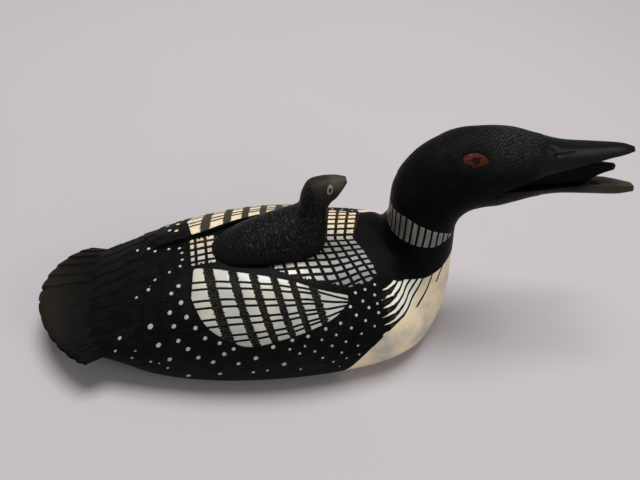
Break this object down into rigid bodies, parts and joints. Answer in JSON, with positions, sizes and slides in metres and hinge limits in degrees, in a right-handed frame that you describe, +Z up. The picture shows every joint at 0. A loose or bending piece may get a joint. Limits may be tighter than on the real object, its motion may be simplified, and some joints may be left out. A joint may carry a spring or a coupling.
{
  "type": "ivory loon carving",
  "caption": "Small carved ivory figure of a swimming loon with its bill open and a chick seated on its back, dyed black with a pale engraved feather pattern, flat underneath.",
  "frame": {"origin": "on the plane the figure rests on, under the middle of its bounding box", "axes": "+X towards the bill, +Y to the loon's left side, +Z up"},
  "size_m": [0.129, 0.0434, 0.0511],
  "materials": {
    "engraved_ivory": "ivory, satin, dyed black, with cream ivory left bare in the feather pattern, the collar and the breast",
    "dark_ivory": "ivory, satin, dyed charcoal black, with fine scratched down marks and a pale eye ring"
  },
  "bodies": {
    "root": {"loon": "engraved_ivory", "chick": "dark_ivory"}
  },
  "joints": []
}
